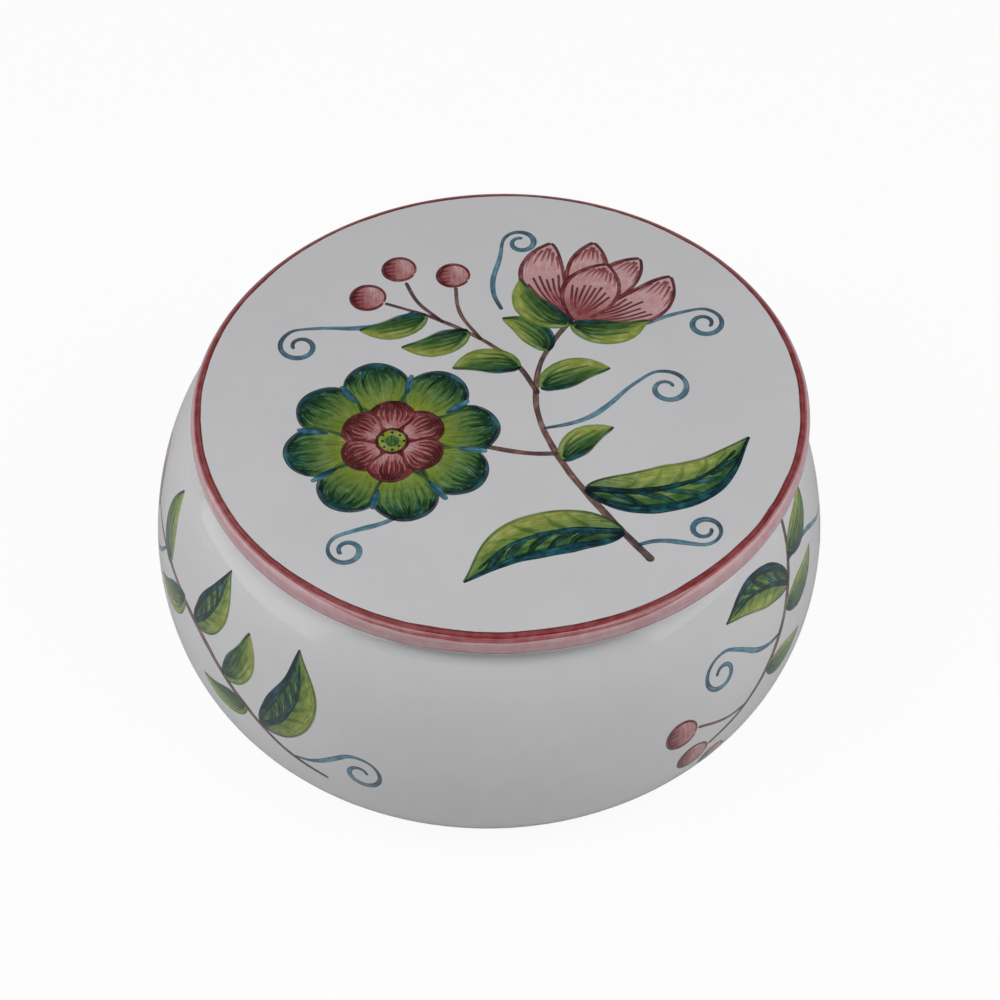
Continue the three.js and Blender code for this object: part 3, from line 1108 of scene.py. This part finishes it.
# %% Count what was made
def report(piece):
    """A closed skin has two faces at every edge."""
    mesh = piece.data
    uses = np.zeros(len(mesh.edges), int)
    edge_index = np.zeros(len(mesh.loops), int)
    mesh.loops.foreach_get("edge_index", edge_index)
    np.add.at(uses, edge_index, 1)
    triangles = sum(len(face.vertices) - 2 for face in mesh.polygons)
    print(piece.name, triangles, "triangles,", int((uses != 2).sum()), "open or doubled edges")


# %% [markdown]
# Two marks travel with the skins. "Way" is the distance along the lid's surface from its middle,
# which places the painted edge. "Bare" tells, in millimetres, how far a point lies inside the
# strip that was wiped free of glaze, so that the piece would not stick to the kiln shelf.

# %% Underside and edge of the lid
UNMARKED = -9.0
BARE_HEIGHT = 0.45


def lid_way(rows):
    """Distance over the surface from the middle of the top to each row of the lid's profile."""
    line = rows[::-1, :2]
    steps = np.linalg.norm(np.diff(line, axis=0), axis=1)
    return (TOP_SHEET_RADIUS + np.concatenate([[0.0], np.cumsum(steps)]))[::-1]


ring_rows = (lid_rows[:, 0] < RING_OUTER_RADIUS + 0.1) & (lid_rows[:, 1] < ring_foot + 2.0)
lid_bare = np.where(ring_rows, ring_foot + BARE_HEIGHT - lid_rows[:, 1], UNMARKED)
lid_sides = revolve(lid_rows, np.column_stack([lid_way(lid_rows), lid_bare]))
print("lid's underside and edge:", len(lid_sides.faces), "faces")


# %% Painted top and skin of the lid
def circle(radius, count, first=0.0):
    turn = np.linspace(0.0, 2 * np.pi, count, endpoint=False) + first
    return [(radius * np.sin(a), -radius * np.cos(a)) for a in turn]


sheet_points, sheet_edges = [], []
for radius in (TOP_SHEET_RADIUS, 69.5, 69.0, 68.0, 66.0):
    start = len(sheet_points)
    sheet_points += circle(radius, COLUMNS, first=-np.pi)
    sheet_edges += [(start + i, start + (i + 1) % COLUMNS) for i in range(COLUMNS)]
for radius in (62.0, 54.0, 45.0, 36.0, 26.0, 15.0, 5.0):
    sheet_points += circle(radius, int(2 * radius) + 6)
flat, triangles, paint = inlay(np.array(sheet_points), sheet_edges, lid_painting)
lid_points = np.column_stack([flat, np.full(len(flat), lid_top)])
lid_normals = np.tile([0.0, 0.0, 1.0], (len(flat), 1))
lid_marks = np.column_stack([np.linalg.norm(flat, axis=1), np.full(len(flat), UNMARKED)])
lid_sheet = Part(lid_points, lid_normals, lid_marks, triangles, paint)
lid = join_skin("painted_lid", [lid_sides, lid_sheet], LID_OFFSET)
report(lid)

# %% Painted wall of the bowl
wall_steps = np.linalg.norm(np.diff(wall_rows[:, :2], axis=0), axis=1)
wall_travel = np.concatenate([[0.0], np.cumsum(wall_steps)])
belly_travel = wall_travel[wall_rows[:, 0].argmax()]
wall_up = wall_travel - belly_travel
print("wall runs from", wall_up[0].round(1), "to", wall_up[-1].round(1), "mm along itself, from the belly")

WALL_LINES = 38
round_lines = np.linspace(-np.pi, np.pi, COLUMNS + 1) * BELLY_RADIUS
up_lines = np.linspace(wall_up[0], wall_up[-1], WALL_LINES)
grid_u, grid_v = np.meshgrid(round_lines, up_lines)
grid = np.column_stack([grid_u.ravel(), grid_v.ravel()])
index = np.arange(len(grid)).reshape(grid_u.shape)
ways = (index[:, :-1], index[:, 1:]), (index[:-1], index[1:])
grid_edges = [(int(a), int(b)) for first, last in ways for a, b in zip(first.ravel(), last.ravel())]
flat, triangles, paint = inlay(grid, grid_edges, bowl_painting)
r, z, outward, upward = (np.interp(flat[:, 1], wall_up, column) for column in wall_rows.T)
turn = flat[:, 0] / BELLY_RADIUS
sine, cosine = np.sin(turn), -np.cos(turn)
wall_points = np.column_stack([r * sine, r * cosine, z])
wall_normals = np.column_stack([outward * sine, outward * cosine, upward])
wall_marks = np.tile([0.0, UNMARKED], (len(flat), 1))
wall_sheet = Part(wall_points, wall_normals, wall_marks, triangles, paint)

# %% Skin of the bowl
foot_rows = (under_rows[:, 0] > foot_inner - 0.5) & (under_rows[:, 0] < FOOT_RADIUS + FILLET)
under_bare = np.where(foot_rows, BARE_HEIGHT - under_rows[:, 1], UNMARKED)
under = revolve(under_rows, np.column_stack([np.zeros(len(under_rows)), under_bare]))
inner_marks = np.column_stack([np.zeros(len(inner_rows) + 1), np.full(len(inner_rows) + 1, UNMARKED)])
inner = revolve(np.vstack([wall_rows[-1:], inner_rows]), inner_marks)
bowl = join_skin("painted_bowl", [under, wall_sheet, inner], 0.0)
report(bowl)

# %% [markdown]
# ## The tin glaze
#
# Tin glaze is an opaque white glass a third of a millimetre thick. It isn't flat white: it pools
# and thins in soft patches, carries a few dark specks of kiln dirt and pinholes where gas
# escaped, and its surface rises and falls very slightly, which makes reflections swim. Bowl and
# lid share it, so it is a node group that puts out colour, roughness and height.

# %% Node group: tin glaze
GLAZE_WHITE = (0.64, 0.64, 0.65, 1.0)
SPECKED_SHARE = 0.05
SPECK_BROWN = (0.16, 0.10, 0.07, 1.0)
SPECK_RADII = (0.012, 0.034)
GLOSS = (0.085, 0.125)
ORANGE_PEEL = 0.010
SLOW_SWELL = 0.10
PINHOLE = 0.03

tree, given, result = new_group(
    "tin_glaze",
    [("Place", "Vector", None), ("White", "Color", GLAZE_WHITE), ("Specks", "Float", SPECKED_SHARE)],
    [("Color", "Color"), ("Roughness", "Float"), ("Height", "Float")],
)
where = given.outputs["Place"]
patches = noise(tree, where, 0.03, 3.0)
cloud = noise(tree, where, 0.16, 2.0)
brightness = ease(tree, patches, 0.3, 0.7, 0.982, 1.018)
brightness = math(tree, "ADD", brightness, ease(tree, cloud, 0.3, 0.7, -0.008, 0.008))
toned = place(tree, "HueSaturation", {"Color": given.outputs["White"], "Value": brightness})
cells = place(tree, "TexVoronoi", {"Vector": where, "Scale": 0.11, "Randomness": 1.0})
rare = place(tree, "SeparateColor", {"Color": cells.outputs["Color"]})
speck_size = ease(tree, rare.outputs[1], 0.0, 1.0, *SPECK_RADII)
inside_speck = math(tree, "SUBTRACT", speck_size, cells.outputs["Distance"])
picked = math(tree, "GREATER_THAN", given.outputs["Specks"], rare.outputs[0])
speck = math(tree, "MULTIPLY", ease(tree, inside_speck, -0.004, 0.01), picked)
dirty = mix_colours(tree, math(tree, "MULTIPLY", speck, 0.75), toned.outputs[0], SPECK_BROWN)
orange_peel = math(tree, "MULTIPLY", noise(tree, where, 0.35, 1.0), ORANGE_PEEL)
slow_swell = math(tree, "MULTIPLY", noise(tree, where, 0.06, 1.0), SLOW_SWELL)
height = math(tree, "ADD", orange_peel, slow_swell)
height = math(tree, "SUBTRACT", height, math(tree, "MULTIPLY", speck, PINHOLE))
satin = ease(tree, noise(tree, where, 0.5, 3.0), 0.3, 0.7, *GLOSS)
satin = math(tree, "ADD", satin, math(tree, "MULTIPLY", speck, 0.2))
tree.links.new(dirty, result.inputs["Color"])
tree.links.new(satin, result.inputs["Roughness"])
tree.links.new(height, result.inputs["Height"])
print("tin_glaze group:", len(tree.nodes), "nodes")

# %% [markdown]
# ## Paint in the glaze
#
# The mark of a brush is not an even film. Its hairs leave streaks along the stroke, wet colour
# pools in patches and in a darker line at its edge, and the edge itself is a little soft where it
# sank into the glaze, more so where the paint is thin. Light goes twice through a film that is
# twice as thick, so the tint is raised to the power of the thickness: pale paint changes a lot
# with it, and dark paint hardly.

# %% Node group: brush mark
SOFT_EDGE_THIN = 0.8
SOFT_EDGE_FULL = 0.11
STREAKS = (0.70, 1.22)
POOLS = (0.72, 1.30)
EDGE_LINE = 1.30

tree, given, result = new_group(
    "brush_mark",
    [
        ("Place", "Vector", None),
        ("Ground", "Color", (1.0, 1.0, 1.0, 1.0)),
        ("Pigment", "Color", (0.2, 0.2, 0.2, 1.0)),
        ("Cover", "Float", 0.9),
        ("Unevenness", "Float", 1.0),
        ("Edge Distance", "Float", 0.5),
        ("Half Width", "Float", 1.0),
        ("Grain", "Vector", None),
    ],
    [("Tint", "Color")],
)
cover = given.outputs["Cover"]
edge_distance = given.outputs["Edge Distance"]
soft = ease(tree, cover, 0.6, 0.9, SOFT_EDGE_THIN, SOFT_EDGE_FULL)
soft = math(tree, "MINIMUM", soft, math(tree, "MULTIPLY", given.outputs["Half Width"], 0.7))
hairs = noise(tree, given.outputs["Grain"], 1.0, 2.5, 0.6)
streaks = ease(tree, hairs, 0.34, 0.66, *STREAKS)
pools = ease(tree, noise(tree, given.outputs["Place"], 0.36, 3.0, 0.55), 0.32, 0.68, *POOLS)
edge_line = ease(tree, cover, 0.7, 0.9, 1.0, EDGE_LINE)
gathered = ease(tree, edge_distance, 0.06, 0.45, edge_line, 1.0)
uneven = mix_values(tree, given.outputs["Unevenness"], 1.0, math(tree, "MULTIPLY", streaks, pools))
thickness = math(tree, "MULTIPLY", uneven, gathered)
film = place(tree, "Gamma", {"Color": given.outputs["Pigment"], "Gamma": thickness})
mark = math(tree, "MULTIPLY", cover, ease(tree, edge_distance, 0.0, soft), clamp=True)
tinted = mix_colours(tree, mark, given.outputs["Ground"], film.outputs[0])
tree.links.new(tinted, result.inputs["Tint"])
print("brush_mark group:", len(tree.nodes), "nodes")

# %% [markdown]
# ## Bare clay
#
# Where the glaze was wiped off, on the foot of the bowl and on the lower edge of the lid's ring,
# the fired earthenware shows: a matt, sandy buff. The border is ragged, as a wet sponge leaves
# it.

# %% Node group: bare clay
CLAY_DARK = (0.50, 0.30, 0.19, 1.0)
CLAY_PALE = (0.60, 0.40, 0.27, 1.0)
CLAY_MATT = (0.72, 0.9)
SAND_HEIGHT = 0.12

tree, given, result = new_group(
    "bare_clay",
    [("Place", "Vector", None), ("Depth", "Float", UNMARKED)],
    [("Color", "Color"), ("Roughness", "Float"), ("Height", "Float"), ("Mask", "Float")],
)
where = given.outputs["Place"]
sand = noise(tree, where, 2.2, 4.0, 0.65)
stain = noise(tree, where, 0.12, 2.0)
buff = mix_colours(tree, ease(tree, stain, 0.3, 0.7), CLAY_DARK, CLAY_PALE)
grainy = place(tree, "HueSaturation", {"Color": buff, "Value": ease(tree, sand, 0.3, 0.7, 0.82, 1.08)})
ragged = ease(tree, noise(tree, where, 0.5, 3.0), 0.3, 0.7, -0.3, 0.3)
ragged = math(tree, "ADD", given.outputs["Depth"], ragged)
tree.links.new(grainy.outputs[0], result.inputs["Color"])
tree.links.new(ease(tree, sand, 0.3, 0.7, *CLAY_MATT), result.inputs["Roughness"])
tree.links.new(math(tree, "MULTIPLY", sand, SAND_HEIGHT), result.inputs["Height"])
tree.links.new(ease(tree, ragged, -0.05, 0.05), result.inputs["Mask"])
print("bare_clay group:", len(tree.nodes), "nodes")

# %% [markdown]
# ## Painted edge of the lid
#
# The lid's edge carries a dark-red line where the top turns over and a light-pink wash from there
# down, and at the foot of the wash a darker strip of painted shade, for the shadow in the seam under
# the edge. The line and the wash were painted with the lid turning on a wheel, so their streaks run
# round it. They use the brush mark group too: "way" tells how far a point lies from the borders of each
# band.
# The red is broadest at the front, where the brush was set down, and "shy" is what it loses
# elsewhere. A hand is never quite steady, so the borders waver and drift a little.

# %% Bands round the lid's edge
Band = namedtuple("Band", "inner outer colour cover shy")
EDGE_BANDS = [
    Band(71.0, 75.8, (*tint(172, 134, 137), 1.0), 0.95, 0.0),
    # Painted shade, not paint: a darker strip at the foot of the pink wash, for the shadow in the seam under
    # the lid's edge.
    Band(75.25, 75.8, (*tint(128, 92, 96), 1.0), 0.7, 0.0),
    Band(69.5, 72.35, (*tint(142, 80, 83), 1.0), 0.93, 0.95),
    Band(69.5, 71.3, (*tint(122, 49, 50), 1.0), 0.95, 0.35),
    Band(69.5, 70.05, (*tint(92, 48, 50), 1.0), 0.75, 0.0),
]
BAND_UNEVENNESS = 0.5
BAND_WAVER = 0.15
BAND_DRIFT = -0.004
FRONT_FADES = (-71.0, -50.0)
STREAKS_ROUND = 0.07
STREAKS_ACROSS = 2.6
print("bands run from", EDGE_BANDS[-1].inner, "to", EDGE_BANDS[0].outer, "mm from the lid's middle")


def attribute(tree, name):
    return place(tree, "Attribute", attribute_name=name)


def scaled(tree, vector, factors):
    return place(tree, "VectorMath", {0: vector, 1: factors}, operation="MULTIPLY").outputs[0]


def painted_edge(tree, where, tint_below):
    """The tint of the bands, each laid over the ones before it."""
    way = attribute(tree, "way").outputs["Fac"]
    spot = place(tree, "SeparateXYZ", {0: where})
    grain = place(tree, "CombineXYZ", {
        "X": math(tree, "MULTIPLY", spot.outputs["X"], STREAKS_ROUND),
        "Y": math(tree, "MULTIPLY", spot.outputs["Y"], STREAKS_ROUND),
        "Z": math(tree, "MULTIPLY", way, STREAKS_ACROSS),
    })
    waver = ease(tree, noise(tree, where, 0.06, 3.0), 0.3, 0.7, -BAND_WAVER, BAND_WAVER)
    drift = math(tree, "MULTIPLY", spot.outputs["Y"], BAND_DRIFT)
    way = math(tree, "ADD", math(tree, "ADD", way, waver), drift)
    aside = ease(tree, spot.outputs["Y"], *FRONT_FADES)
    for band in EDGE_BANDS:
        outer = math(tree, "SUBTRACT", band.outer, math(tree, "MULTIPLY", aside, band.shy))
        past_inner = math(tree, "SUBTRACT", way, band.inner)
        before_outer = math(tree, "SUBTRACT", outer, way)
        tint_below = place_group(tree, "brush_mark", {
            "Place": where,
            "Ground": tint_below,
            "Pigment": band.colour,
            "Cover": band.cover,
            "Unevenness": BAND_UNEVENNESS,
            "Edge Distance": math(tree, "MINIMUM", past_inner, before_outer),
            "Half Width": 0.5 * (band.outer - band.inner),
            "Grain": grain.outputs[0],
        }).outputs["Tint"]
    return tint_below


# %% [markdown]
# ## The finish of each piece
#
# In the kiln glaze and paint become one glossy skin, so they share one Principled shader: the
# paint's tint multiplies the glaze's white, and the clay takes over where its mask says so. A
# second shader for the clay, mixed in, would look the same, but could not be exported.

# %% Painted glaze over clay
HAIR_GRAIN = (0.16, 2.4, 0.0)


def painted_glaze(name, has_bands):
    material, tree = new_material(name)
    position = place(tree, "TexCoord").outputs["Object"]
    where = scaled(tree, position, (1 / MM, 1 / MM, 1 / MM))
    glaze = place_group(tree, "tin_glaze", {"Place": where, "White": GLAZE_WHITE, "Specks": SPECKED_SHARE})
    clay = place_group(tree, "bare_clay", {"Place": where, "Depth": attribute(tree, "bare").outputs["Fac"]})

    touch = attribute(tree, "touch").outputs["Vector"]
    stroke = place(tree, "SeparateXYZ", {0: touch})
    across = math(tree, "ABSOLUTE", stroke.outputs["Y"])
    painted = place_group(tree, "brush_mark", {
        "Place": where,
        "Ground": attribute(tree, "ground").outputs["Vector"],
        "Pigment": attribute(tree, "pigment").outputs["Vector"],
        "Cover": attribute(tree, "cover").outputs["Fac"],
        "Edge Distance": math(tree, "SUBTRACT", stroke.outputs["Z"], across),
        "Half Width": stroke.outputs["Z"],
        "Grain": scaled(tree, touch, HAIR_GRAIN),
    }).outputs["Tint"]
    if has_bands:
        painted = painted_edge(tree, where, painted)

    coloured = mix_colours(tree, 1.0, glaze.outputs["Color"], painted, "MULTIPLY")
    bare = clay.outputs["Mask"]
    height = mix_values(tree, bare, glaze.outputs["Height"], clay.outputs["Height"])
    surface = place(tree, "BsdfPrincipled", {
        "Base Color": mix_colours(tree, bare, coloured, clay.outputs["Color"]),
        "Roughness": mix_values(tree, bare, glaze.outputs["Roughness"], clay.outputs["Roughness"]),
        "IOR": 1.5,
        "Normal": place(tree, "Bump", {"Strength": 1.0, "Distance": MM, "Height": height}).outputs[0],
    })
    place(tree, "OutputMaterial", {"Surface": surface.outputs[0]})
    print(name, "has", len(tree.nodes), "nodes")
    return material


lid.data.materials.append(painted_glaze("painted_glaze_lid", has_bands=True))
bowl.data.materials.append(painted_glaze("painted_glaze_bowl", has_bands=False))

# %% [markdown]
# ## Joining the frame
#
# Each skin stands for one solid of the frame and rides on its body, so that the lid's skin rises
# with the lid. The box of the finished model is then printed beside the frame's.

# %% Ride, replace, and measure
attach(bowl, "bowl")
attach(lid, "lid")
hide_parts("dish_bowl")
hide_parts("dish_lid")

visual_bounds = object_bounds()
boxes = {
    "cad": [list(corner) for corner in cad_bounds],
    "visual": [list(corner) for corner in visual_bounds],
}
print("boxes in mm:", {name: np.round(np.array(box) / MM, 3).tolist() for name, box in boxes.items()})
